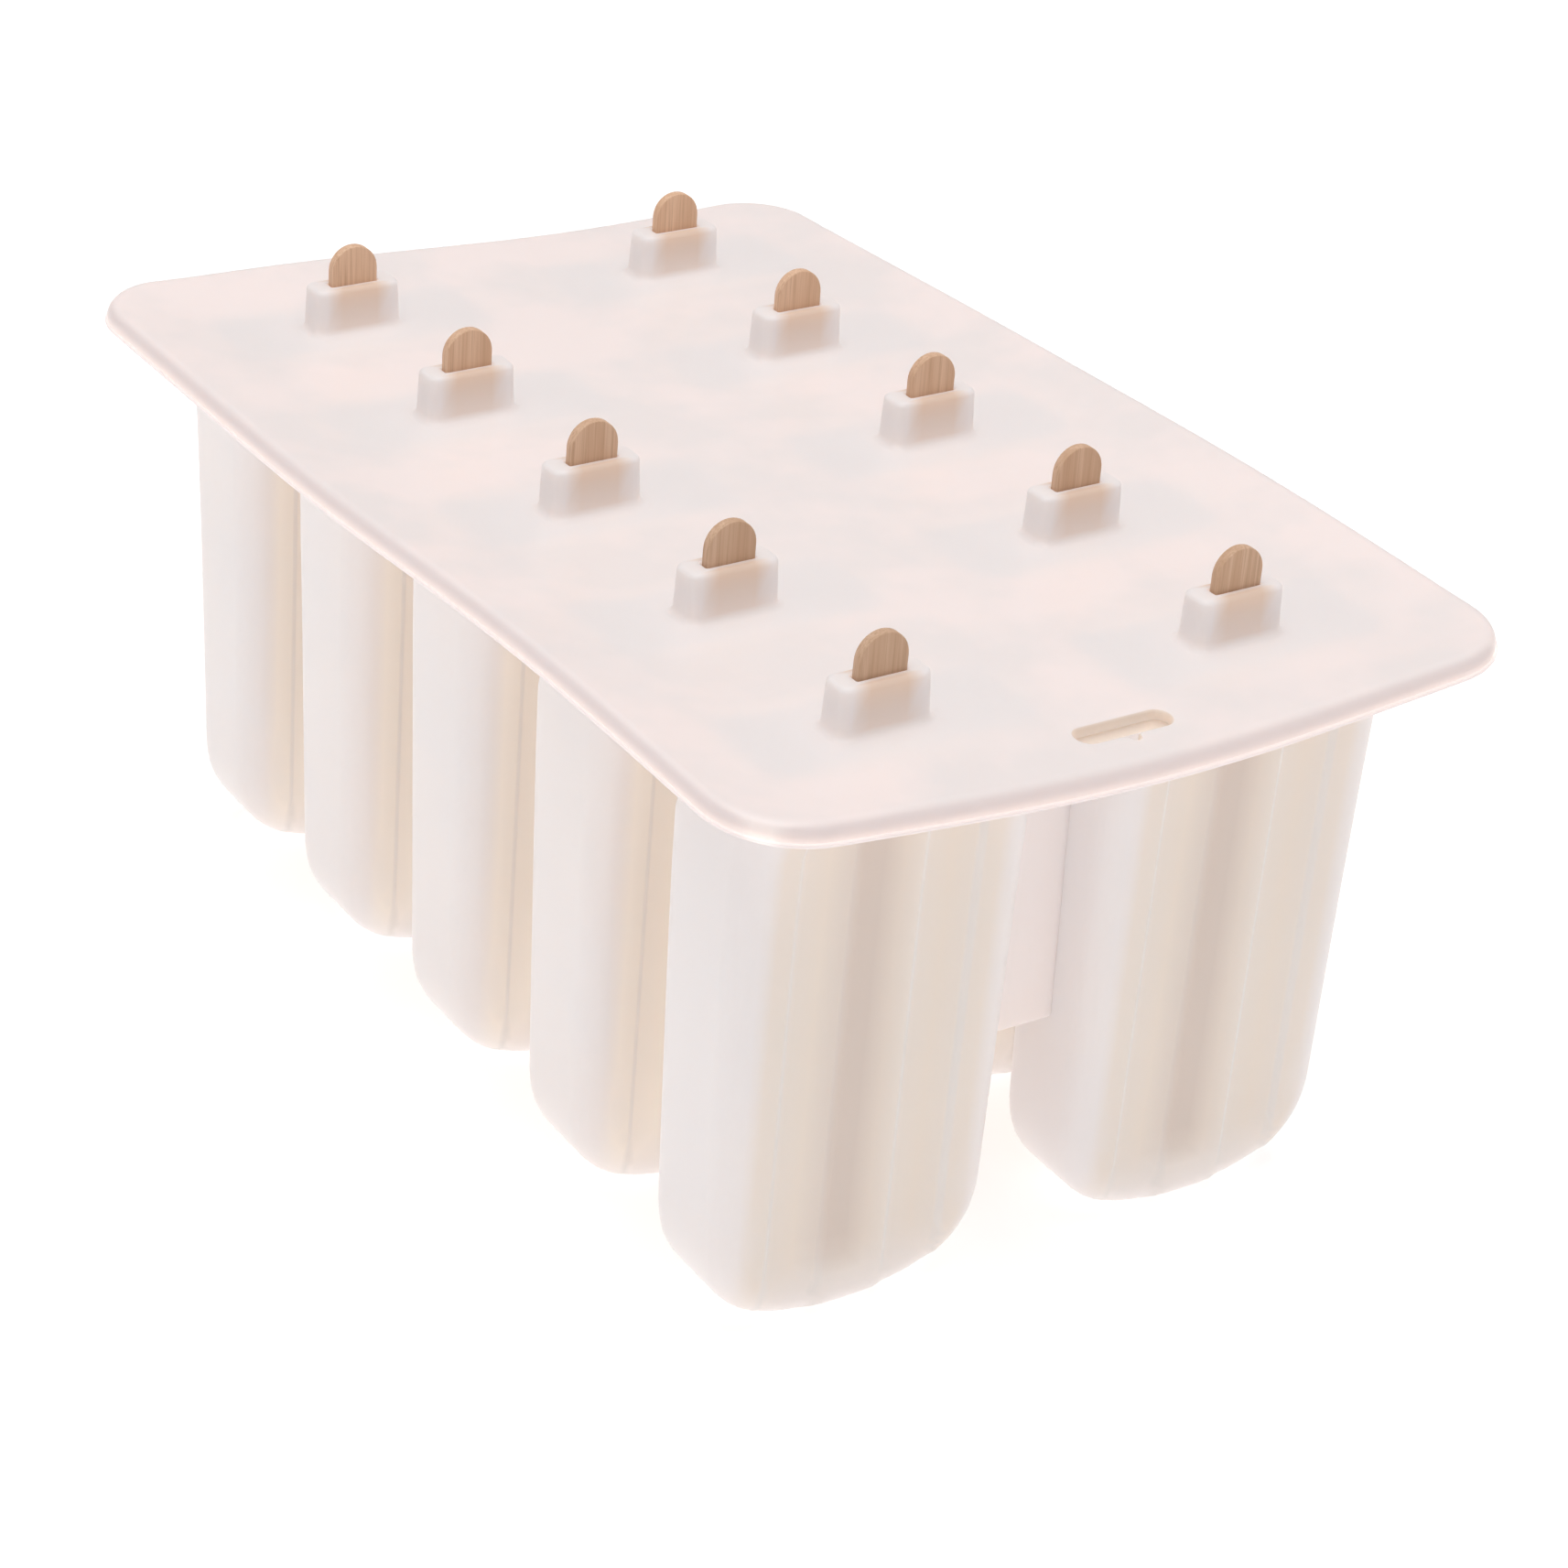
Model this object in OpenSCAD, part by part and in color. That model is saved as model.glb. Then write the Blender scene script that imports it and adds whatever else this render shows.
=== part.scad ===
// Silicone ice pop mould: ten wells, a lid with slotted collars, ten wooden sticks.
// Millimetres, +Z up, the base plane at z = 0, the hang slot's end towards -Y.

/* [Layout] */
// Distance between the wells' middles along a column
row_pitch = 45; // [42:0.5:60]
// Distance between the two columns' middles
column_pitch = 72.5; // [68:0.5:90]

/* [Well] */
// Width of a well at its mouth, outside
well_width = 57.4; // [48:0.2:62]
// Depth from front to back of a well at its mouth, outside
well_depth = 25.6; // [22:0.2:34]
// Height of a well under the lid's rim
well_height = 103; // [95:0.5:140]
// Lean of the well's walls, for pulling the pops out
draft_angle = 0.84; // [0.4:0.02:1.2]
// Height of the round part at the well's bottom
arch_height = 20.8; // [15:0.2:26]
// Squareness of the round bottom, 2 is an ellipse
arch_power = 2.57; // [2:0.01:3.2]
// Rounding of the well's long edges
edge_round = 5.3; // [3:0.1:7]
// Thickness of the well's wall
wall = 2; // [1.4:0.1:2.6]

/* [Face channels] */
// Width of a shallow channel on a broad face
channel_width = 10.9; // [8:0.1:13]
// Distance of a channel's middle from the well's middle
channel_middle = 12; // [10:0.1:14]
// Depth of a channel
channel_depth = 0.9; // [0.4:0.1:1.4]

/* [Flange and webs] */
// Thickness of the mould's top flange
flange_thick = 2; // [1.5:0.1:3]
// Height of the web's lower edge above the base
web_foot = 40; // [30:1:80]
// Thickness of the web between two wells
web_thick = 2.6; // [1.6:0.1:4]

/* [Lid] */
// Width of the lid
lid_width = 158; // [152:0.5:190]
// Length of the lid
lid_length = 237; // [232:0.5:300]
// Corner radius of the lid
lid_corner = 18; // [14:0.5:24]
// Height of the lid's rim
rim_height = 4; // [3.8:0.1:6]
// Thickness of the lid's sheet and of its rim
lid_thick = 2; // [1.6:0.1:2.4]
// Gap between the lid's rim and the flange
lid_gap = 0.4; // [0.3:0.05:0.8]
// Length of the hang slot
hang_length = 19; // [12:0.5:24]
// Width of the hang slot
hang_width = 4.6; // [4.2:0.1:5.5]
// Distance of the hang slot's middle from the lid's edge
hang_inset = 10.7; // [8:0.1:11]

/* [Collar] */
// Length of a collar round a stick
collar_length = 17.6; // [14:0.2:22]
// Width of a collar
collar_width = 6.6; // [5.5:0.1:9]
// Height of a collar above the lid
collar_height = 9; // [5:0.5:14]

/* [Stick] */
// Length of a stick
stick_length = 114; // [100:1:125]
// Width of a stick
stick_width = 9.5; // [8:0.1:11]
// Thickness of a stick
stick_thick = 2; // [1.5:0.1:2.5]
// Least height that a stick stands out of its collar
stick_out = 7.4; // [4:0.2:14]
// Least room between a stick's foot and the well's floor
foot_room = 3; // [1:0.5:7]
// Gap between a stick and its slot, each side
slot_gap = 0.15; // [0.1:0.01:0.3]

/* [Hidden] */
silicone = [0.92, 0.88, 0.87];
wood = [0.82, 0.66, 0.54];
rim_z = well_height;
seat_z = rim_z + flange_thick;
lid_z = max(rim_z + rim_height, seat_z + lid_thick);
sheet_z = lid_z - lid_thick;
collar_z = lid_z + collar_height;
stick_top = max(collar_z + stick_out, wall + foot_room + stick_length);
stick_foot = stick_top - stick_length;
lip = 0.4;
sole = 0.4;
tall_z = seat_z + 60;
flange_width = lid_width - 2 * (lid_thick + lip + lid_gap);
flange_length = lid_length - 2 * (lid_thick + lip + lid_gap);

// middles of the wells, far row first, left column first
function well_at(i) = [
    (i < 5 ? -0.5 : 0.5) * column_pitch,
    (2 - i % 5) * row_pitch,
    0
];

// how far a wall has come in at height z
function lean(z) = (rim_z - z) * tan(draft_angle);

// one ring of the well's outline: station s from 0 to 1 along the arch
function arch_x(a, s) = a * sign(cos(180 * s)) * pow(abs(cos(180 * s)), 2 / arch_power);
function arch_z(b, s) = b * (1 - pow(sin(180 * s), 2 / arch_power));

// points of a body that narrows downwards and ends in the round bottom
function body_points(hw, hd, foot, top, r, steps, turns) = [
    for (k = [0 : steps + 2])
        let (
            s = min(max(k - 1, 0), steps) / steps,
            side = cos(180 * s) >= 0 ? 1 : -1,
            b = arch_height - foot,
            a = hw - lean(arch_height),
            end = k == 0 || k == steps + 2,
            x = end ? side * (hw - lean(top)) : arch_x(a, s),
            z = end ? top : foot + arch_z(b, s),
            nx = end ? side : sign(x) * pow(abs(x) / a, arch_power - 1) / a,
            nz = end ? 0 : -pow(max(1 - (z - foot) / b, 0), arch_power - 1) / b,
            n = norm([nx, nz])
        )
        for (front = [-1, 1])
            for (j = [0 : turns])
                let (
                    t = 90 * j / turns,
                    back = r * (1 - cos(t)),
                    px = x - back * nx / n,
                    pz = z - back * nz / n
                )
                [px, front * (hd - lean(pz) - r * (1 - sin(t))), pz]
];

module solid_of(points) {
    hull()
        polyhedron(points = points, faces = [for (i = [0 : len(points) - 3]) [i, i + 1, i + 2]]);
}

// the outside is cut flat at z = 0, so each well stands on a small flat foot
module well_outside() {
    intersection() {
        shape(well_width / 2, well_depth / 2, -sole, tall_z, edge_round, 13, 3);
        translate([-column_pitch, -row_pitch, 0])
            cube([2 * column_pitch, 2 * row_pitch, rim_z + flange_thick / 2]);
    }
}

module well_inside() {
    shape(well_width / 2 - wall, well_depth / 2 - wall, wall, tall_z, edge_round - wall * 0.7, 12, 2);
}

// A well's body with its channels, which run out in the round bottom.
// The channels are what the core leaves free between the middle band and the two side bands.
module shape(hw, hd, foot, top, r, steps, turns) {
    near = channel_middle - channel_width / 2;
    far = channel_middle + channel_width / 2;
    core = [
        for (p = body_points(hw, hd - channel_depth, foot, top, r, steps, turns))
            if (abs(p.x) < far + 2) p
    ];
    solid_of(concat(core, face_points(far + 1.5, hd - channel_depth, [top, arch_height, foot + r + 1])));
    for (sy = [-1, 1])
        band(sy, near, hd, foot + r + 1.5, top);
    for (sx = [-1, 1]) {
        side = [
            for (p = body_points(hw, hd, foot, top, r, steps, turns))
                if (sx * p.x > far + 1) p
        ];
        solid_of(concat(side, side_points(sx, far, hd, foot + r + 3, top)));
    }
}

// points at one distance from the middle, on both faces
function face_points(x, hd, heights) = [
    for (sx = [-1, 1], sy = [-1, 1], z = heights) [sx * x, sy * (hd - lean(z)), z]
];

// points of the sloped side where a side band rises out of a channel
function side_points(sx, far, hd, foot, top) = [
    for (sy = [-1, 1], k = [-1, 1], z = [foot + k, top])
        [sx * (far + 0.8 * k), sy * (hd - channel_depth - lean(z) + k * channel_depth), z]
];

// the middle band of a broad face, with sloped sides and a sloped foot
module band(sy, half, hd, foot, top) {
    solid_of([
        for (side = [-1, 1], k = [-1, 1], z = [foot + k, top])
            [side * (half - 0.8 * k), sy * (hd - channel_depth - lean(z) + k * channel_depth), z]
    ]);
}

// a flat plate with round corners
module plate(width, length, corner, thick) {
    linear_extrude(thick)
        hull()
            for (sx = [-1, 1], sy = [-1, 1])
                translate([sx * (width / 2 - corner), sy * (length / 2 - corner)])
                    circle(corner, $fn = 40);
}

module mould_body() {
    color(silicone)
        difference() {
            union() {
                translate([0, 0, rim_z])
                    plate(flange_width, flange_length, lid_corner - lid_thick - lip - lid_gap, flange_thick);
                for (i = [0 : 9])
                    translate(well_at(i)) well_outside();
                for (i = [0 : 4])
                    translate([0, well_at(i).y, 0]) web();
            }
            for (i = [0 : 9])
                translate(well_at(i)) well_inside();
            hang_hole(rim_z - 1, flange_thick + 2);
        }
}

// the upright web between the two wells of a row
module web() {
    reach = column_pitch / 2 - well_width / 2 + lean(web_foot) + wall / 2;
    translate([-reach, -web_thick / 2, web_foot])
        cube([2 * reach, web_thick, rim_z + 1 - web_foot]);
}

// the hang slot with the small notch in its outer side
module hang_hole(foot, height) {
    translate([0, -lid_length / 2 + hang_inset, foot]) {
        for (s = [-1, 1])
            translate([s * (hang_length - hang_width) / 2, 0, 0])
                cylinder(d = hang_width, h = height, $fn = 32);
        translate([-(hang_length - hang_width) / 2, -hang_width / 2, 0])
            cube([hang_length - hang_width, hang_width, height]);
        translate([0, -hang_width / 2 - 0.5, 0])
            cylinder(d = 2.2, h = height, $fn = 24);
    }
}

// corner ring of the lid's outline
function round_ring(width, length, corner, z, steps) = [
    for (q = [0 : 3])
        for (j = [0 : steps])
            let (t = 90 * q + 90 * j / steps)
            [
                ((q == 0 || q == 3) ? 1 : -1) * (width / 2 - corner) + corner * cos(t),
                (q < 2 ? 1 : -1) * (length / 2 - corner) + corner * sin(t),
                z
            ]
];

module lid_outside() {
    soft = min(2.6, lid_z - rim_z - 1.2);
    plate(lid_width, lid_length, lid_corner, 0.8);
    solid_of(concat(
        round_ring(lid_width - 2 * lip, lid_length - 2 * lip, lid_corner - lip, 0, 8),
        [
            for (t = [0 : 22.5 : 90])
                let (d = lip + soft * (1 - cos(t)))
                each round_ring(lid_width - 2 * d, lid_length - 2 * d, lid_corner - d,
                    lid_z - rim_z - soft * (1 - sin(t)), 8)
        ]
    ));
}

module collar() {
    solid_of(concat(
        round_ring(collar_length + 0.6, collar_width + 0.6, 2, -0.5, 4),
        round_ring(collar_length, collar_width, 1.8, collar_height - 1, 4),
        round_ring(collar_length - 0.6, collar_width - 0.6, 1.6, collar_height - 0.3, 4),
        round_ring(collar_length - 1.8, collar_width - 1.8, 1.2, collar_height, 4)
    ));
}

module stick_slot() {
    translate([-stick_width / 2 - slot_gap, -stick_thick / 2 - slot_gap, -lid_thick - 1])
        cube([stick_width + 2 * slot_gap, stick_thick + 2 * slot_gap, lid_thick + collar_height + 2]);
}

module lid() {
    color(silicone)
        difference() {
            union() {
                translate([0, 0, rim_z]) lid_outside();
                for (i = [0 : 9])
                    translate(well_at(i) + [0, 0, lid_z]) collar();
            }
            translate([0, 0, rim_z - 1])
                plate(lid_width - 2 * (lid_thick + lip), lid_length - 2 * (lid_thick + lip),
                    lid_corner - lid_thick - lip, sheet_z - rim_z + 1);
            for (i = [0 : 9])
                translate(well_at(i) + [0, 0, lid_z]) stick_slot();
            hang_hole(sheet_z - 1, lid_thick + 2);
        }
}

// a flat wooden stick with full round ends
module stick(i) {
    color(wood)
        translate(well_at(i) + [0, stick_thick / 2, stick_foot])
            rotate([90, 0, 0])
                linear_extrude(stick_thick) {
                    for (z = [stick_width / 2, stick_top - stick_foot - stick_width / 2])
                        translate([0, z]) circle(d = stick_width, $fn = 96);
                    translate([-stick_width / 2, stick_width / 2])
                        square([stick_width, stick_top - stick_foot - stick_width]);
                }
}

module stick_1() { stick(0); }
module stick_2() { stick(1); }
module stick_3() { stick(2); }
module stick_4() { stick(3); }
module stick_5() { stick(4); }
module stick_6() { stick(5); }
module stick_7() { stick(6); }
module stick_8() { stick(7); }
module stick_9() { stick(8); }
module stick_10() { stick(9); }

mould_body();
lid();
stick_1();
stick_2();
stick_3();
stick_4();
stick_5();
stick_6();
stick_7();
stick_8();
stick_9();
stick_10();
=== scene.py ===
"""Ice pop mould in milky silicone: ten wells, a slotted lid and ten wooden sticks.

Lengths are in millimetres until a mesh is made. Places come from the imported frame.
"""

import math

import bmesh
import bpy
from mathutils import Matrix, Vector
from mathutils.geometry import delaunay_2d_cdt


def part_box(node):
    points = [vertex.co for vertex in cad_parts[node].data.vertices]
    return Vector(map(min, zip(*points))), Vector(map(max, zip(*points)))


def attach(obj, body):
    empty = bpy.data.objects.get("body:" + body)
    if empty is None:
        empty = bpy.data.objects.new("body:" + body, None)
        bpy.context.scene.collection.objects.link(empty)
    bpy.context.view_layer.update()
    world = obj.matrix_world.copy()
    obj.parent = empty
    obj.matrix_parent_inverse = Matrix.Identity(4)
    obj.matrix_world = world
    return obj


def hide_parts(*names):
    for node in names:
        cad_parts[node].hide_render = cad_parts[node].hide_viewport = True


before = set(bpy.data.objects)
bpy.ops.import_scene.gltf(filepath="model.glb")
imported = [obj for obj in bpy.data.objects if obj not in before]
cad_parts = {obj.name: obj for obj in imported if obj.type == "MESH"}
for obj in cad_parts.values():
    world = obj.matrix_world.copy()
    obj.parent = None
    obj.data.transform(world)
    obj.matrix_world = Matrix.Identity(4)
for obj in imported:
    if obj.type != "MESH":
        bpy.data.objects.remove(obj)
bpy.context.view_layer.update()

MM = 0.001


def box_mm(node):
    """A node's lowest and highest corner, in millimetres."""
    low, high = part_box(node)
    return Vector(low) / MM, Vector(high) / MM


# ---- sizes, from the frame where it has them ----
STICKS = [f"stick_{k}" for k in range(1, 11)]
STICK_BOXES = [box_mm(name) for name in STICKS]
WELLS = [((low + high) / 2).to_2d() for low, high in STICK_BOXES]
BODY_LOW, BODY_HIGH = box_mm("mould_body")
LID_LOW, LID_HIGH = box_mm("lid")

STICK_THICK = STICK_BOXES[0][1].y - STICK_BOXES[0][0].y
STICK_WIDTH = STICK_BOXES[0][1].x - STICK_BOXES[0][0].x
STICK_FOOT = STICK_BOXES[0][0].z

# the flange's underside, the face that the lid lies on, and the lid's top
RIM_Z = LID_LOW.z
SEAT_Z = BODY_HIGH.z
COLLAR_HEIGHT = 9.0
LID_Z = LID_HIGH.z - COLLAR_HEIGHT

# a well: its mouth, the lean of its walls, and the round bottom as a superellipse
WELL_WIDTH, WELL_DEPTH = 57.4, 25.6
DRAFT = math.radians(0.84)
ARCH_HEIGHT, ARCH_POWER = 20.8, 2.57
EDGE_ROUND, WALL = 5.3, 2.0
# the round bottom would end this far below the flat foot
SOLE = 0.4
# a channel's two sides, off the well's middle
CHANNEL_NEAR, CHANNEL_FAR = 6.55, 17.45
CHANNEL_DEPTH, CHANNEL_SLOPE = 0.9, 1.6
# the flange's top is drawn a hair below the lid
SEAT_GAP = 0.06
# the web between two wells sinks into their walls a little
WEB_FOOT, WEB_THICK, WEB_SINK = 40.0, 2.6, 0.4

LID_CORNER, LID_THICK, LID_SOFT = 15.0, 2.0, 2.6
LIP, LIP_HEIGHT = 0.4, 0.7
HANG_LENGTH, HANG_WIDTH, HANG_INSET = 19.0, 4.6, 10.7
NOTCH_HALF, NOTCH_DEPTH, NOTCH_FLARE = 1.1, 1.6, 0.8
COLLAR_LENGTH, COLLAR_WIDTH, COLLAR_CORNER = 17.6, 6.6, 1.8
COLLAR_SOFT, COLLAR_FILLET, COLLAR_FLARE = 0.9, 1.4, 0.5
SLOT_ROOM, SLOT_SOFT = 0.3, 0.5
STICK_BEVEL = 0.28


# ---- mesh helpers ----
SHARP_ANGLE = math.radians(40)


class Skin:
    """Vertices and faces gathered loop by loop."""

    def __init__(self):
        self.points = []
        self.faces = []

    def loop(self, points):
        """Adds points and returns their numbers."""
        start = len(self.points)
        self.points.extend(Vector(p) for p in points)
        return list(range(start, len(self.points)))

    def strip(self, a, b, closed=True):
        """Quads between two loops of the same length."""
        count = len(a)
        for i in range(count if closed else count - 1):
            j = (i + 1) % count
            self.faces.append((a[i], a[j], b[j], b[i]))

    def strips(self, loops, closed=True):
        """Quads between each loop and the next."""
        for a, b in zip(loops, loops[1:]):
            self.strip(a, b, closed)

    def fill(self, outer, holes, flat, lift, inner=()):
        """Triangles between an outer loop and the holes in it.

        flat turns a point into 2-D, lift turns an inner 2-D point into 3-D.
        """
        index, edges = [], []
        for ring in (outer, *holes):
            first = len(index)
            index.extend(ring)
            edges.extend((first + i, first + (i + 1) % len(ring)) for i in range(len(ring)))
        coords = [flat(self.points[i]) for i in index]
        index.extend(self.loop([lift(p) for p in inner]))
        coords.extend(Vector(p) for p in inner)
        _, out_edges, faces, origin, from_edges, _ = delaunay_2d_cdt(coords, edges, [], 0, 1e-7)
        walls = {frozenset(e) for e, source in zip(out_edges, from_edges) if source}
        for corners in faces_inside(faces, walls):
            self.faces.append([index[origin[i][0]] for i in corners])

    def bend(self, move):
        """Moves every point the way the soft material gives."""
        self.points = [move(p) for p in self.points]

    def piece(self, name, materials, replaced, zones=None, second=0):
        """The gathered mesh as an object that rides on the body.

        zones holds the point values of each zone that a material reads, and the first faces,
        second in number, wear the second material.
        """
        mesh = bpy.data.meshes.new(name)
        mesh.from_pydata([p * MM for p in self.points], [], self.faces)
        turn_outward(mesh)
        for zone, values in (zones or {}).items():
            layer = mesh.attributes.new(zone, "FLOAT", "POINT")
            layer.data.foreach_set("value", values)
        mesh.polygons.foreach_set("use_smooth", [True] * len(mesh.polygons))
        mesh.set_sharp_from_angle(angle=SHARP_ANGLE)
        for material in materials:
            mesh.materials.append(material)
        wears = [1] * second + [0] * (len(mesh.polygons) - second)
        mesh.polygons.foreach_set("material_index", wears)
        obj = bpy.data.objects.new(name, mesh)
        bpy.context.scene.collection.objects.link(obj)
        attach(obj, "root")
        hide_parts(replaced)


def turn_outward(mesh):
    """Makes all the faces of a closed mesh look outward."""
    work = bmesh.new()
    work.from_mesh(mesh)
    bmesh.ops.recalc_face_normals(work, faces=work.faces)
    work.to_mesh(mesh)
    work.free()


def faces_inside(faces, walls):
    """The triangles that an odd number of walls cuts off from the outside."""
    touching = {}
    for n, face in enumerate(faces):
        for i, corner in enumerate(face):
            touching.setdefault(frozenset((corner, face[i - 1])), []).append(n)
    depth = {}
    waiting = []
    for edge, near in touching.items():
        if len(near) == 1 and near[0] not in depth:
            depth[near[0]] = int(edge in walls)
            waiting.append(near[0])
    while waiting:
        n = waiting.pop()
        face = faces[n]
        for i, corner in enumerate(face):
            edge = frozenset((corner, face[i - 1]))
            for other in touching[edge]:
                if other not in depth:
                    depth[other] = (depth[n] + (edge in walls)) % 2
                    waiting.append(other)
    return [face for n, face in enumerate(faces) if depth[n]]


def smooth(t):
    """Rises from 0 to 1 with a soft start and end."""
    t = min(max(t, 0.0), 1.0)
    return t * t * (3 - 2 * t)


def round_rect(width, length, corner, steps, side):
    """A rounded rectangle, anticlockwise: steps cut each corner's arc, and side each straight."""

    def on_arc(quarter, share):
        cx = (width / 2 - corner) * (1 if quarter in (0, 3) else -1)
        cy = (length / 2 - corner) * (1 if quarter < 2 else -1)
        a = math.radians(90 * (quarter + share))
        return Vector((cx + corner * math.cos(a), cy + corner * math.sin(a)))

    ring = []
    for q in range(4):
        ring.extend(on_arc(q, j / steps) for j in range(steps + 1))
        start, end = ring[-1], on_arc((q + 1) % 4, 0)
        ring.extend(start.lerp(end, k / side) for k in range(1, side))
    return ring


def xy(p):
    """A point seen from above."""
    return Vector((p[0], p[1]))


# ---- how the soft set has given way: the lid's edges curl and the wells hang a little askew ----
# inside this half width and half length the lid stays flat
CURL_X, CURL_Y = 42.0, 92.0
# the mean rise of the lid's edge, then its waves in the angle from the +X side
CURL_MEAN = 2.411
CURL_WAVES = (
    (-0.486, 0.851),
    (2.374, -0.528),
    (0.781, -1.237),
    (-0.456, 0.482),
    (-0.022, -0.205),
    (-0.208, 0.114),
)
# half the lid's shift and turn against the wells, and how much its edges are pulled along
SHIFT = Vector((0.753, 0.352))
TURN, PULL = 0.0082, 0.010
# where a well starts to follow the lid sideways, and where its wall starts to rise
FOLLOW_Z, RISE_Z = 91, 60
# the height at which a stick stays in place, and that over which it leans by the whole drift
STICK_STILL_Z, STICK_LEAN_HEIGHT = 40, 70


def edge_share(x, y):
    """0 in the lid's middle, 1 along its edge."""
    tx = max(abs(x) - CURL_X, 0) / (LID_HIGH.x - CURL_X)
    ty = max(abs(y) - CURL_Y, 0) / (LID_HIGH.y - CURL_Y)
    return math.sqrt(tx**4 + ty**4)


def curl(x, y):
    """How far the edge has risen at a place."""
    angle = math.atan2(y / LID_HIGH.y, x / LID_HIGH.x)
    waves = enumerate(CURL_WAVES, 1)
    rise = CURL_MEAN + sum(c * math.cos(k * angle) + d * math.sin(k * angle) for k, (c, d) in waves)
    return rise * edge_share(x, y)


def drift(x, y, share):
    """The small turn of the lid against the wells: share is 1 at the lid and -1 at the wells."""
    return share * (SHIFT.x - TURN * y), share * (SHIFT.y + TURN * x)


def give_lid(p):
    """The lid turns a little, its edges are pulled along and curl up."""
    dx, dy = drift(p.x, p.y, 1)
    pull = PULL * edge_share(p.x, p.y) * p.y
    return Vector((p.x + dx - pull, p.y + dy, p.z + curl(p.x, p.y)))


def give_well(p):
    """The flange goes with the lid, and the wells hang the other way."""
    top = smooth((p.z - FOLLOW_Z) / (RIM_Z - FOLLOW_Z))
    dx, dy = drift(p.x, p.y, 2 * top - 1)
    rim = smooth((p.z - RISE_Z) / (RIM_Z - RISE_Z))
    dx -= PULL * edge_share(p.x, p.y) * p.y * rim
    return Vector((p.x + dx, p.y + dy, max(p.z, 0) + curl(p.x, p.y) * rim))


# ---- the mould ----
def lean(z):
    """How far a well's wall has come in at a height."""
    return (RIM_Z - z) * math.tan(DRAFT)


def dip(x):
    """How deep a channel of a broad face is at x."""
    u = abs(x)
    down = smooth((u - CHANNEL_NEAR) / CHANNEL_SLOPE + 0.5)
    up = smooth((CHANNEL_FAR - u) / CHANNEL_SLOPE + 0.5)
    return CHANNEL_DEPTH * min(up, down)


ARCH_STEPS, SIDE_STEPS, FOOT_STEPS, ROUND_STEPS = 40, 8, 5, 6
# the columns of points of a broad face: close together on the channels' slopes
SLOPE_STEPS = [CHANNEL_SLOPE * k / 6 for k in range(-3, 4)]
HALF_COLUMNS = [line + step for line in (CHANNEL_NEAR, CHANNEL_FAR) for step in SLOPE_STEPS]
COLUMNS = sorted(side * x for side in (-1, 1) for x in HALF_COLUMNS + [2.0, 12.0, 21.0])
# the fill's points keep off the rounded edge by this much
CLEAR_SIDE, CLEAR_ARCH = 1, 1.2


def outline(hw, foot, top, d):
    """The well's outline in front view, pulled in by d: left top, round the bottom, right top."""
    a, b = hw - lean(ARCH_HEIGHT) - d, ARCH_HEIGHT - foot - d
    heights = [top + (ARCH_HEIGHT - top) * (k / SIDE_STEPS) for k in range(SIDE_STEPS)]
    left = [(-(hw - lean(z) - d), z) for z in heights]
    arch = []
    for k in range(ARCH_STEPS + 1):
        t = math.radians(180 * k / ARCH_STEPS)
        c, s = math.cos(t), math.sin(t)
        x = -a * math.copysign(abs(c) ** (2 / ARCH_POWER), c)
        arch.append((x, ARCH_HEIGHT - b * abs(s) ** (2 / ARCH_POWER)))
    right = [(-x, z) for x, z in reversed(left)]
    return left + arch + right


def well_surface(skin, centre, hw, hd, foot, top, r):
    """One side of a well's wall, open at the top. Returns the loop round its mouth."""
    across = []
    for front in (-1, 1):
        angles = [90 - 90 * j / ROUND_STEPS for j in range(ROUND_STEPS + 1)]
        if front > 0:
            angles.reverse()
        across.extend((front, math.radians(t)) for t in angles)
    rows = []
    for front, t in across:
        d = r * (1 - math.cos(t))
        row = []
        for x, z in outline(hw, foot, top, d):
            y = hd - lean(z) - r * (1 - math.sin(t)) - dip(x) * math.sin(t)
            row.append((centre.x + x, centre.y + front * y, z))
        rows.append(skin.loop(row))
    skin.strips(rows, closed=False)

    columns = [x for x in COLUMNS if abs(x) < hw - lean(top) - r - CLEAR_SIDE]
    heights = [top + (ARCH_HEIGHT - top) * k / SIDE_STEPS for k in range(1, SIDE_STEPS)]
    heights += [ARCH_HEIGHT * k / FOOT_STEPS for k in range(1, FOOT_STEPS + 1)]

    def clear(x, z):
        """Whether a place of a broad face lies well inside its rounded edge."""
        if z > ARCH_HEIGHT:
            return x < hw - lean(z) - r - CLEAR_SIDE
        a = hw - lean(ARCH_HEIGHT) - r - CLEAR_ARCH
        b = ARCH_HEIGHT - foot - r - CLEAR_ARCH
        return (x / a) ** ARCH_POWER + ((ARCH_HEIGHT - z) / b) ** ARCH_POWER < 1

    inner = [(centre.x + x, z) for x in columns for z in heights if clear(abs(x), z)]
    mouth = {}
    for front, row in ((-1, rows[0]), (1, rows[-1])):

        def lift(p, front=front):
            y = front * (hd - lean(p[1]) - dip(p[0] - centre.x))
            return (p[0], centre.y + y, p[1])

        lip = skin.loop([lift((centre.x + x, top)) for x in columns])
        skin.fill(row + lip[::-1], [], lambda p: Vector((p[0], p[2])), lift, inner)
        mouth[front] = lip
    left = [row[0] for row in rows]
    right = [row[-1] for row in rows]
    return mouth[-1] + right + mouth[1][::-1] + left[::-1]


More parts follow.
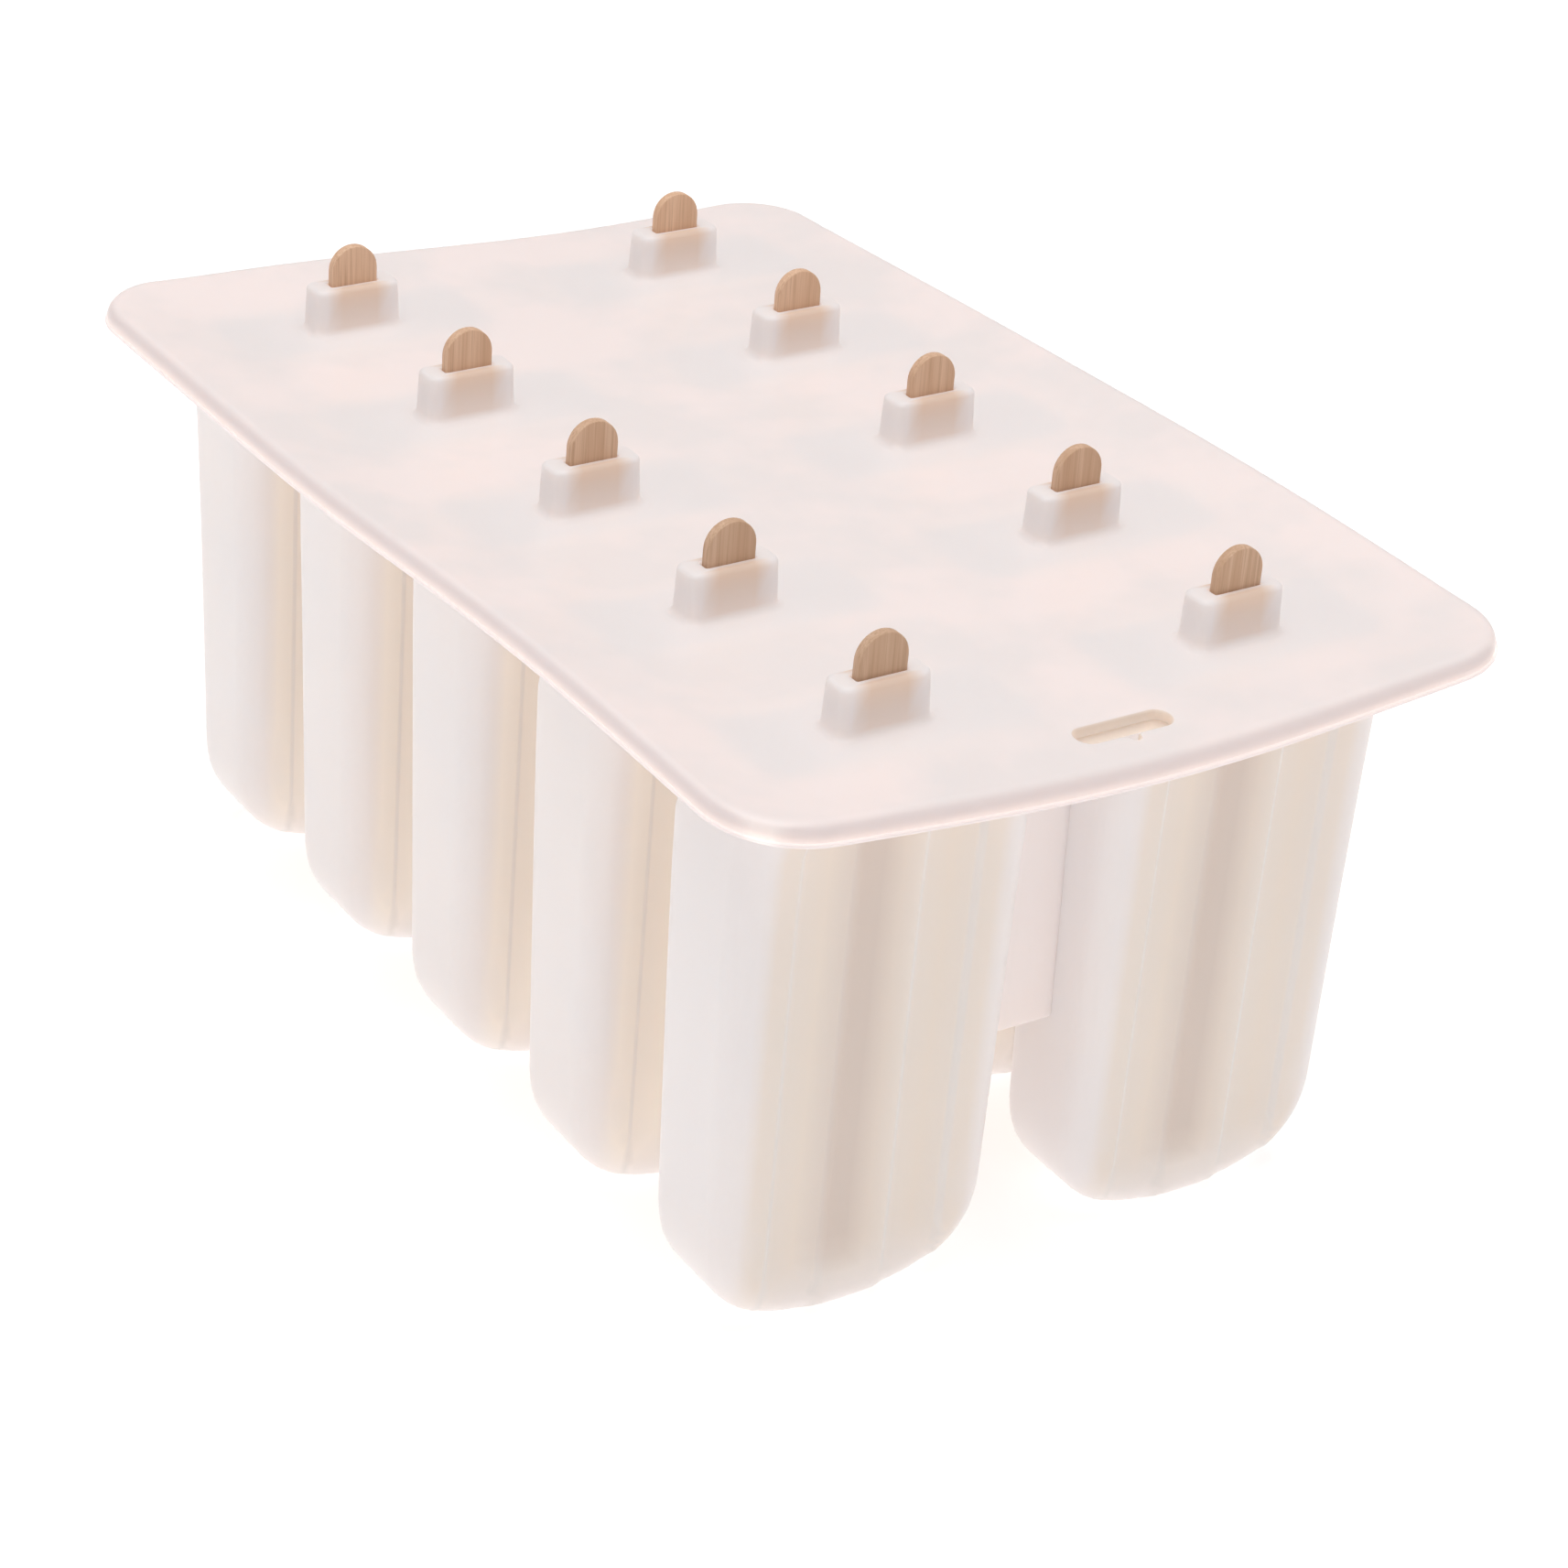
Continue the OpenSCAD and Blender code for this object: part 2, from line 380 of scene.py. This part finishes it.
def hang_ring(grow):
    """Outline of the hang slot with its notch, anticlockwise, let out by grow."""
    steps, notch_steps = 10, 4
    r = HANG_WIDTH / 2 + grow
    half = HANG_LENGTH / 2 - HANG_WIDTH / 2
    ring = []
    for middle, start in ((half, -90), (-half, 90)):
        for k in range(steps + 1):
            a = math.radians(start + 180 * k / steps)
            ring.append((middle + r * math.cos(a), r * math.sin(a)))
    notch, deep = NOTCH_HALF + grow * 0.5, NOTCH_DEPTH + grow * 0.5
    # the notch opens with a short slope on either side
    slope = [(notch, -r - 0.3), (notch + NOTCH_FLARE, -r)]
    ring.extend((-x, y) for x, y in reversed(slope))
    for k in range(notch_steps + 1):
        a = math.radians(180 + 180 * k / notch_steps)
        ring.append((notch * math.cos(a), -r - deep + notch + notch * math.sin(a)))
    ring.extend(slope)
    return [Vector((x, LID_LOW.y + HANG_INSET + y)) for x, y in ring]


def rounded_hang_hole(skin, low, high):
    """The slot's walls, soft at both edges. Returns the loops at the two heights given."""
    soft = ((0, 0.35), (0.1, 0.12), (0.35, 0.0))
    rings = [(high - down, grow) for down, grow in soft]
    rings += [(low + up, grow) for up, grow in reversed(soft)]
    loops = [skin.loop([(p.x, p.y, z) for p in hang_ring(grow)]) for z, grow in rings]
    skin.strips(loops)
    return loops[0], loops[-1]


def make_mould(materials):
    """The flange and the ten wells, in one closed skin."""
    skin = Skin()
    hw, hd = WELL_WIDTH / 2, WELL_DEPTH / 2
    seat = SEAT_Z - SEAT_GAP
    inner_round = EDGE_ROUND - WALL * 0.7
    inner = [well_surface(skin, c, hw - WALL, hd - WALL, WALL, seat, inner_round) for c in WELLS]
    inside = len(skin.faces)
    outer = [well_surface(skin, c, hw, hd, -SOLE, RIM_Z, EDGE_ROUND) for c in WELLS]
    width, length = BODY_HIGH.x - BODY_LOW.x, BODY_HIGH.y - BODY_LOW.y
    corner = LID_CORNER - (LID_HIGH.x - BODY_HIGH.x)
    # the flange's edge from its underside to its top, soft at both
    soft = ((0, 0.5), (0.15, 0.15), (0.5, 0.0))
    rings = [(RIM_Z + up, pull) for up, pull in soft]
    rings += [(seat - down, pull) for down, pull in reversed(soft)]
    edge = []
    for z, pull in rings:
        ring = round_rect(width - 2 * pull, length - 2 * pull, corner - pull, 12, 16)
        edge.append(skin.loop([(p.x, p.y, z) for p in ring]))
    skin.strips(edge)
    high, low = rounded_hang_hole(skin, RIM_Z, seat)
    for ring, holes, z in ((edge[-1], inner + [high], seat), (edge[0], outer + [low], RIM_Z)):
        places = clear_of(sheet_places(width, length, corner), holes, skin)
        skin.fill(ring, holes, xy, lambda p, z=z: (p[0], p[1], z), places)
    # where light and shade are painted on the mould
    zones = {
        "line": [channel_shade_weight(p) for p in skin.points],
        # painted shade on the broad faces at the set's two ends
        "broad": [broad_weight(p) * end_share(p) for p in skin.points],
        # painted light on the broad faces between the rows, where the wells shade each other
        "gap": [broad_weight(p) * (1 - end_share(p)) for p in skin.points],
        "core": [core_weight(p) for p in skin.points],
        "edge": [rim_shade_weight(p) for p in skin.points],
        "slot": [slot_shade_weight(p) for p in skin.points],
    }
    skin.bend(give_well)
    skin.piece("mould_silicone", materials, "mould_body", zones, inside)


def make_webs(material):
    """An upright web joins the two wells of each row."""
    skin = Skin()
    for well in WELLS[: len(WELLS) // 2]:
        add_web(skin, well.y)
    skin.bend(give_well)
    skin.piece("mould_webs", [material], "mould_body")


def add_web(skin, y):
    """A thin upright wall between two wells, rounded along its lower edge."""
    gap = (WELLS[-1].x - WELLS[0].x) / 2 - WELL_WIDTH / 2
    r = WEB_THICK / 2
    head = RIM_Z + 0.5
    steps = 8
    section = [(-r, head)]
    for k in range(steps + 1):
        a = math.radians(180 + 180 * k / steps)
        section.append((r * math.cos(a), WEB_FOOT + r + r * math.sin(a)))
    section.append((r, head))
    left, right = (
        skin.loop([(side * (gap + lean(z) + WEB_SINK), y + dy, z) for dy, z in section])
        for side in (-1, 1)
    )
    skin.strip(right, left)
    skin.faces.append(left[::-1])
    skin.faces.append(right)


# ---- the zones of the skin with painted light and shade ----
# a channel's line of painted shade: 1 up to a quarter of the reach, then fading
LINE_REACH, LINE_FULL = CHANNEL_SLOPE * 0.6, 1.25
# the soft borders of the end faces, the outer edges and the broad faces, where shade is painted
END_BORDER, EDGE_REACH, BROAD_BORDER, BROAD_FOOT = 4, 4, 5, 16
# the stick's painted shadow, a soft band on a well: its place on the side that looks to -Y, half
# width past the stick, border, the same two at the stick's foot, and its strength between the rows
CORE_SHIFT, CORE_REACH, CORE_BORDER = -2.8, 1.4, 3.4
CORE_FOOT_REACH, CORE_FOOT_BORDER, CORE_BETWEEN = 2, 8, 0.4
# the stick's painted shade, a soft patch on a collar
PATCH_OFF, PATCH_SIDE, PATCH_REACH, PATCH_BORDER, PATCH_RISE = 1.2, 1.2, 2.4, 3.6, 3


def nearest_well(p):
    """The middle of the well that a point is nearest to, seen from above."""
    return min(WELLS, key=lambda centre: (p.xy - centre).length)


def off_middle(p):
    """How far a point is from the middle plane of its well, along the row."""
    return min(abs(p.x - centre.x) for centre in WELLS)


def channel_shade_weight(p):
    """1 on the sloped sides of the channels, where shade is painted, 0 elsewhere."""
    u = off_middle(p)
    near = min(abs(u - CHANNEL_NEAR), abs(u - CHANNEL_FAR))
    return smooth(LINE_FULL - near / LINE_REACH)


def end_share(p):
    """1 on the faces that look away from the set at its two ends, 0 between the rows."""
    return smooth((abs(p.y) - WELLS[0].y - END_BORDER) / END_BORDER)


def rim_shade_weight(p):
    """1 on the outer edge of the flange and of the lid, where shade is painted."""
    out = max(abs(p.x) - LID_HIGH.x, abs(p.y) - LID_HIGH.y) + EDGE_REACH
    return smooth(out / (EDGE_REACH / 2)) * smooth(LID_Z - p.z)


def slot_shade_weight(p):
    """1 on the walls of the hang slot, below its soft upper edge, where shade is painted."""
    in_width = abs(p.y - LID_LOW.y - HANG_INSET) < HANG_WIDTH / 2 + 2
    in_length = abs(p.x) < HANG_LENGTH / 2 + 1
    in_height = RIM_Z - 0.1 < p.z < LID_Z - 0.05
    return float(in_width and in_length and in_height)


def broad_weight(p):
    """1 on the broad faces, 0 on the narrow ones and round the bottom: where shade is painted at
    the ends and light between the rows.
    """
    half = WELL_WIDTH / 2 - EDGE_ROUND + 1
    return smooth((half - off_middle(p)) / BROAD_BORDER) * smooth(p.z / BROAD_FOOT)


def core_weight(p):
    """1 in front of the stick, which shows through the wall as a soft band of painted shadow.

    From the hang slot's end, seen a little from the left, the band lies left of the middle.
    """
    near = nearest_well(p)
    aside = CORE_SHIFT if p.y < near.y else 0.0
    band = smooth((STICK_WIDTH / 2 + CORE_REACH - abs(p.x - near.x - aside)) / CORE_BORDER)
    band *= smooth((p.z - STICK_FOOT + CORE_FOOT_REACH) / CORE_FOOT_BORDER)
    return band * (CORE_BETWEEN + (1 - CORE_BETWEEN) * end_share(p))


def shade_over_well(p):
    """1 where the lid has a well's air under it, 0 where it lies on the flange: painted shade over
    the hollow.
    """
    out = min(
        math.hypot(max(abs(p.x - centre.x) - (WELL_WIDTH - WELL_DEPTH) / 2, 0), p.y - centre.y)
        for centre in WELLS
    )
    return smooth(0.5 - (out - WELL_DEPTH / 2) / 4)


def stick_shade_on_collar(p):
    """1 on the collar's broad sides, where the stick behind them shows through as painted shade."""
    if p.z < LID_Z + 0.2:
        return 0.0
    near = nearest_well(p)
    side = smooth((abs(p.y - near.y) - PATCH_OFF) / PATCH_SIDE)
    middle = smooth((STICK_WIDTH / 2 + PATCH_REACH - abs(p.x - near.x)) / PATCH_BORDER)
    return side * middle * smooth((p.z - LID_Z) / PATCH_RISE)


# ---- the lid ----
def make_lid(material):
    """The sheet with its turned-down rim, ten collars with slots, and the hang slot."""
    skin = Skin()
    width, length = LID_HIGH.x - LID_LOW.x, LID_HIGH.y - LID_LOW.y
    thick, under, lip_top = LID_THICK + LIP, LID_Z - LID_THICK, RIM_Z + LIP_HEIGHT
    # the rim's section from the underside out and up: distance from the outer edge, and height
    profile = [(thick, under), (thick, RIM_Z + 0.3), (thick - 0.2, RIM_Z)]
    profile += [(0.3, RIM_Z), (0.08, RIM_Z + 0.08), (0.0, RIM_Z + 0.3)]
    profile += [(0.0, lip_top - 0.15), (0.12, lip_top), (LIP, lip_top + 0.12)]
    turns = 8
    for k in range(turns + 1):
        a = math.radians(90 * k / turns)
        profile.append((LIP + LID_SOFT * (1 - math.cos(a)), LID_Z - LID_SOFT * (1 - math.sin(a))))
    profile.append((LIP + LID_SOFT + 1.5, LID_Z))
    loops = []
    for pull, z in profile:
        ring = round_rect(width - 2 * pull, length - 2 * pull, LID_CORNER - pull, 14, 24)
        loops.append(skin.loop([(p.x, p.y, z) for p in ring]))
    skin.strips(loops)

    feet, slots = zip(*(add_collar(skin, centre) for centre in WELLS))
    high, low = rounded_hang_hole(skin, under, LID_Z)
    rim = LIP + LID_SOFT
    places = sheet_places(width - 2 * rim, length - 2 * rim, LID_CORNER)
    for ring, holes, z in ((loops[-1], [*feet, high], LID_Z), (loops[0], [*slots, low], under)):
        inner = clear_of(places, holes, skin)
        skin.fill(ring, holes, xy, lambda p, z=z: (p[0], p[1], z), inner)
    # where shade is painted on the lid
    zones = {
        "well": [shade_over_well(p) for p in skin.points],
        "stick": [stick_shade_on_collar(p) for p in skin.points],
        "edge": [rim_shade_weight(p) for p in skin.points],
        "slot": [slot_shade_weight(p) for p in skin.points],
    }
    skin.bend(give_lid)
    skin.piece("lid_silicone", [material], "lid", zones)


def sheet_places(width, length, corner):
    """A grid of places well inside a rounded rectangle."""
    step, keep = 4.0, 2.6
    nx, ny = int(width / step), int(length / step)
    places = []
    for i in range(1, nx):
        for j in range(1, ny):
            x, y = width * (i / nx - 0.5), length * (j / ny - 0.5)
            over_x = abs(x) - (width / 2 - corner)
            over_y = abs(y) - (length / 2 - corner)
            over = math.hypot(over_x, over_y) if over_x > 0 and over_y > 0 else max(over_x, over_y)
            if over < corner - keep:
                places.append((x, y))
    return places


def clear_of(places, rings, skin):
    """The places that lie outside the box round each ring."""
    gap = 0.8
    boxes = []
    for ring in rings:
        xs = [skin.points[i].x for i in ring]
        ys = [skin.points[i].y for i in ring]
        boxes.append((min(xs) - gap, max(xs) + gap, min(ys) - gap, max(ys) + gap))
    return [
        (x, y)
        for x, y in places
        if not any(a < x < b and c < y < d for a, b, c, d in boxes)
    ]


def add_collar(skin, centre):
    """A soft collar round a stick.

    Returns its loop on the lid's top and its slot's loop on the underside.
    """
    steps, side = 6, 4
    foot_steps, top_steps = 4, 5
    # each ring's length, width, corner and height over the lid
    shape = []
    for k in range(foot_steps + 1):
        a = math.radians(90 * k / foot_steps)
        out = COLLAR_FILLET * (1 - math.sin(a))
        size = (COLLAR_LENGTH + COLLAR_FLARE + 2 * out, COLLAR_WIDTH + COLLAR_FLARE + 2 * out)
        shape.append((*size, COLLAR_CORNER + 0.1 + out, COLLAR_FILLET * (1 - math.cos(a))))
    for k in range(top_steps + 1):
        a = math.radians(90 * k / top_steps)
        pull = COLLAR_SOFT * (1 - math.cos(a))
        size = (COLLAR_LENGTH - 2 * pull, COLLAR_WIDTH - 2 * pull)
        height = COLLAR_HEIGHT - COLLAR_SOFT * (1 - math.sin(a))
        shape.append((*size, COLLAR_CORNER - pull * 0.6, height))
    slot = (STICK_WIDTH + SLOT_ROOM, STICK_THICK + SLOT_ROOM)
    shape.append((slot[0] + SLOT_SOFT, slot[1] + SLOT_SOFT, 0.4, COLLAR_HEIGHT))
    shape.append((*slot, 0.2, COLLAR_HEIGHT - SLOT_SOFT / 2))
    shape.append((*slot, 0.2, -LID_THICK))
    loops = []
    for ring_length, ring_width, corner, height in shape:
        ring = round_rect(ring_length, ring_width, corner, steps, side)
        loops.append(skin.loop([(*(centre + p), LID_Z + height) for p in ring]))
    skin.strips(loops)
    return loops[0], loops[-1]


# ---- the sticks ----
def make_stick(name, low, high, material):
    """A flat stick with round ends and soft edges, leaning with the lid's drift."""
    skin = Skin()
    steps = 20
    cx = (low.x + high.x) / 2
    r = STICK_WIDTH / 2
    soft = ((0, STICK_BEVEL), (STICK_BEVEL * 0.3, STICK_BEVEL * 0.3), (STICK_BEVEL, 0.0))
    rings = [(low.y + step, pull) for step, pull in soft]
    rings += [(high.y - step, pull) for step, pull in reversed(soft)]
    loops = []
    for y, pull in rings:
        ring = []
        for end, z in ((0, high.z - r), (180, low.z + r)):
            for k in range(steps + 1):
                a = math.radians(end + 180 * k / steps)
                ring.append((cx + (r - pull) * math.cos(a), y, z + (r - pull) * math.sin(a)))
        loops.append(skin.loop(ring))
    skin.strips(loops[::-1])
    skin.faces.append(loops[0])
    skin.faces.append(loops[-1][::-1])
    dx, dy = drift(cx, (low.y + high.y) / 2, 1)
    skin.bend(lambda p: p + Vector((dx, dy, 0)) * (p.z - STICK_STILL_Z) / STICK_LEAN_HEIGHT)
    # the sticks at the far end and in the +X column are drawn paler
    pale = 0.8 * smooth(0.5 + low.y / (2.2 * WELLS[0].y)) + 0.2 * smooth(cx / 20)
    zones = {"pale": [pale] * len(skin.points)}
    skin.piece(name.replace("stick", "wood_stick"), [material], name, zones)


# ---- materials ----
def srgb(r, g, b):
    """Eight-bit screen values to linear."""
    out = []
    for v in (r, g, b):
        v /= 255
        out.append(v / 12.92 if v <= 0.04045 else ((v + 0.055) / 1.055) ** 2.4)
    return (*out, 1.0)


class Nodes:
    """A material and short ways to add and link its nodes."""

    def __init__(self, name):
        self.material = bpy.data.materials.new(name)
        self.material.use_nodes = True
        self.tree = self.material.node_tree
        self.shader = self.tree.nodes["Principled BSDF"]

    def add(self, kind, inputs=None, **settings):
        node = self.tree.nodes.new(kind)
        for key, value in settings.items():
            setattr(node, key, value)
        for key, value in (inputs or {}).items():
            if hasattr(value, "is_output"):
                self.tree.links.new(value, node.inputs[key])
            else:
                node.inputs[key].default_value = value
        return node

    def link(self, output, key):
        self.tree.links.new(output, self.shader.inputs[key])

    def set(self, **values):
        for key, value in values.items():
            self.shader.inputs[key.replace("_", " ")].default_value = value

    def place(self, scale=(1, 1, 1)):
        """The object's own coordinates, in metres, stretched by scale."""
        coords = self.add("ShaderNodeTexCoord").outputs["Object"]
        return self.add("ShaderNodeMapping", {"Vector": coords, "Scale": scale}).outputs[0]

    def noise(self, vector, scale, detail=2.0, rough=0.5):
        return self.add(
            "ShaderNodeTexNoise",
            {"Vector": vector, "Scale": scale, "Detail": detail, "Roughness": rough},
        ).outputs["Fac"]

    def ramp(self, value, stops):
        node = self.add("ShaderNodeValToRGB", {"Fac": value})
        elements = node.color_ramp.elements
        while len(elements) < len(stops):
            elements.new(0.5)
        for element, (place, colour) in zip(elements, stops):
            element.position, element.color = place, colour
        return node.outputs["Color"]

    def mix(self, factor, a, b, blend="MIX"):
        node = self.add("ShaderNodeMix", data_type="RGBA", blend_type=blend)
        for key, value in ((0, factor), (6, a), (7, b)):
            if hasattr(value, "is_output"):
                self.tree.links.new(value, node.inputs[key])
            else:
                node.inputs[key].default_value = value
        return node.outputs[2]

    def zone(self, name):
        """A zone's value at the point that is shaded."""
        return self.add("ShaderNodeAttribute", attribute_name=name).outputs["Fac"]

    def bump(self, height, strength, distance):
        values = {"Height": height, "Strength": strength, "Distance": distance}
        return self.add("ShaderNodeBump", values).outputs["Normal"]


# the painted glow, for light that has come through milky silicone, and how far each of its colours
# spreads
GLOW_COLOUR, SPREAD, SPREAD_LENGTH = (1.0, 0.93, 0.88, 1.0), (1.0, 0.75, 0.6), 0.004


def silicone_material(name, tint, cool, patch, zones=(), glow=0.0):
    """Milky silicone with a satin skin, in which light scatters.

    patch is the scale of its cool patches, zones the tints of the marked zones, painted light and
    shade which stand for what shows through, and glow a painted glow, emission that stands for
    the light that has come through from the other side.
    """
    m = Nodes(name)
    patches = m.noise(m.place(), patch, 3.0, 0.55)
    colour = m.ramp(patches, [(0.42, tint), (0.60, cool)])
    for zone, zone_tint in zones:
        colour = m.mix(m.zone(zone), colour, zone_tint)
    m.link(colour, "Base Color")
    m.set(Roughness=0.36, IOR=1.41)
    if glow:
        # painted glow: the silicone emits a little light, for light that has come through it
        m.set(Emission_Color=GLOW_COLOUR, Emission_Strength=glow)
        m.shader.subsurface_method = "BURLEY"
        m.set(Subsurface_Weight=1.0, Subsurface_Radius=SPREAD, Subsurface_Scale=SPREAD_LENGTH)
    return m.material


def wood_material(name):
    """Sanded birch: fine upright grain and soft wide bands."""
    m = Nodes(name)
    grain = m.noise(m.place((1.0, 1.0, 0.02)), 2600.0, 3.0, 0.6)
    band = m.noise(m.place((1.0, 1.0, 0.05)), 320.0, 2.0)
    dark, plain, light = srgb(196, 158, 128), srgb(217, 180, 150), srgb(228, 194, 166)
    colour = m.ramp(grain, [(0.30, dark), (0.50, plain), (0.72, light)])
    band_share = m.ramp(band, [(0.35, (0.75, 0.75, 0.75, 1)), (0.6, (0, 0, 0, 1))])
    colour = m.mix(band_share, colour, srgb(204, 164, 132))
    colour = m.mix(m.zone("pale"), colour, (1.28, 1.26, 1.26, 1.0), "MULTIPLY")
    m.link(colour, "Base Color")
    m.link(m.bump(grain, 0.25, 0.0002), "Normal")
    m.set(Roughness=0.62, IOR=1.5)
    return m.material


# ---- stage, lights and camera, in metres and watts ----
WHITE = (1, 1, 1, 1)
FLOOR_HALF, FLOOR_PAPER, FLOOR_LIGHT = 3.0, (0.93, 0.93, 0.93, 1), 0.42
WORLD_COLOUR, WORLD_LIGHT = (1.0, 0.985, 0.98, 1), 0.42
AIM = (0, 0, 0.06)
# each light's name, place, size and power
LIGHTS = (("top", (0, 0, 1.7), 1.4, 14), ("key", (-1.5, -0.2, 1.3), 1.2, 1.5))
# the photo's camera, as it was fitted: its place, its axes and its lens in millimetres
CAMERA_PLACE = (-0.3636, -0.5421, 0.4008)
CAMERA_RIGHT = (0.841402, -0.536214, 0.067209)
CAMERA_DOWN = (-0.209232, -0.437907, -0.874334)
CAMERA_AHEAD = (0.498261, 0.721604, -0.480649)
SENSOR, LENS = 36.0, 90.6


def make_floor():
    """A plain pale floor that keeps the shadow and shines a little, like lit paper."""
    corners = [(x * FLOOR_HALF, y * FLOOR_HALF, 0) for x, y in ((-1, -1), (1, -1), (1, 1), (-1, 1))]
    mesh = bpy.data.meshes.new("floor")
    mesh.from_pydata(corners, [], [(0, 1, 2, 3)])
    floor = bpy.data.objects.new("floor", mesh)
    bpy.context.scene.collection.objects.link(floor)
    m = Nodes("floor_paper")
    m.set(Base_Color=FLOOR_PAPER, Roughness=0.9)
    m.set(Emission_Color=WHITE, Emission_Strength=FLOOR_LIGHT)
    mesh.materials.append(m.material)


def make_world():
    """Soft light from all round, in front of a backdrop that the camera sees as white."""
    world = bpy.data.worlds.new("studio")
    bpy.context.scene.world = world
    world.use_nodes = True
    nodes, links = world.node_tree.nodes, world.node_tree.links
    shade = nodes["Background"]
    shade.inputs["Color"].default_value = WORLD_COLOUR
    shade.inputs["Strength"].default_value = WORLD_LIGHT
    plain = nodes.new("ShaderNodeBackground")
    plain.inputs["Color"].default_value = WHITE
    plain.inputs["Strength"].default_value = 1.0
    path = nodes.new("ShaderNodeLightPath")
    mixer = nodes.new("ShaderNodeMixShader")
    links.new(path.outputs["Is Camera Ray"], mixer.inputs[0])
    links.new(shade.outputs[0], mixer.inputs[1])
    links.new(plain.outputs[0], mixer.inputs[2])
    links.new(mixer.outputs[0], nodes["World Output"].inputs["Surface"])


def area_light(name, place, size, power):
    """A round soft light that looks at the set."""
    light = bpy.data.lights.new(name, "AREA")
    light.shape, light.size, light.energy = "DISK", size, power
    obj = bpy.data.objects.new(name, light)
    obj.location = place
    obj.rotation_mode = "QUATERNION"
    obj.rotation_quaternion = (Vector(AIM) - Vector(place)).to_track_quat("-Z", "Y")
    bpy.context.scene.collection.objects.link(obj)


def make_camera():
    """The photo's camera, with its axes turned into those of a camera here."""
    data = bpy.data.cameras.new("camera")
    data.sensor_width, data.lens = SENSOR, LENS
    data.clip_start, data.clip_end = 0.01, 20
    cam = bpy.data.objects.new("camera", data)
    axes = (Vector(CAMERA_RIGHT), -Vector(CAMERA_DOWN), -Vector(CAMERA_AHEAD))
    cam.rotation_mode = "QUATERNION"
    cam.rotation_quaternion = Matrix(axes).transposed().to_quaternion()
    cam.location = CAMERA_PLACE
    bpy.context.scene.collection.objects.link(cam)
    bpy.context.scene.camera = cam


# ---- the painted light and shade of the silicone's zones, later ones over earlier ones ----
MOULD_ZONES = [
    # broad: painted shade on the broad faces at the set's two ends
    ("broad", srgb(220, 205, 191)),
    # gap: painted light on the broad faces between the rows, where the wells shade each other
    ("gap", srgb(238, 227, 214)),
    # line: painted shade on the channels' slopes
    ("line", srgb(213, 206, 202)),
    # painted shadow of the stick, seen through the wall
    ("core", srgb(196, 178, 166)),
    # edge: painted shade on the flange's outer edge
    ("edge", srgb(216, 208, 210)),
    # slot: painted shade on the hang slot's walls
    ("slot", srgb(218, 203, 189)),
]
LID_ZONES = [
    # well: painted shade where the lid lies over a well's hollow
    ("well", srgb(240, 233, 232)),
    # stick: painted shade of the stick, seen through the collar
    ("stick", srgb(228, 202, 182)),
    # edge: painted shade on the lid's rim
    ("edge", srgb(223, 214, 215)),
    # slot: painted shade in the hang slot
    ("slot", srgb(226, 211, 198)),
]


def main():
    bpy.context.scene.view_settings.view_transform = "Standard"
    make_camera()
    make_floor()
    make_world()
    for light in LIGHTS:
        area_light(*light)
    wall = silicone_material(
        "mould_milky_silicone", srgb(226, 218, 216), srgb(223, 217, 217), 18.0, MOULD_ZONES, 0.16
    )
    warm = srgb(247, 236, 228)
    inside = silicone_material("mould_inner_skin", warm, warm, 18.0)
    cover = silicone_material(
        "lid_milky_silicone", srgb(243, 234, 233), srgb(235, 230, 230), 34.0, LID_ZONES, 0.07
    )
    make_mould([wall, inside])
    make_webs(wall)
    make_lid(cover)
    wood = wood_material("birch")
    for name, (low, high) in zip(STICKS, STICK_BOXES):
        make_stick(name, low, high, wood)


main()
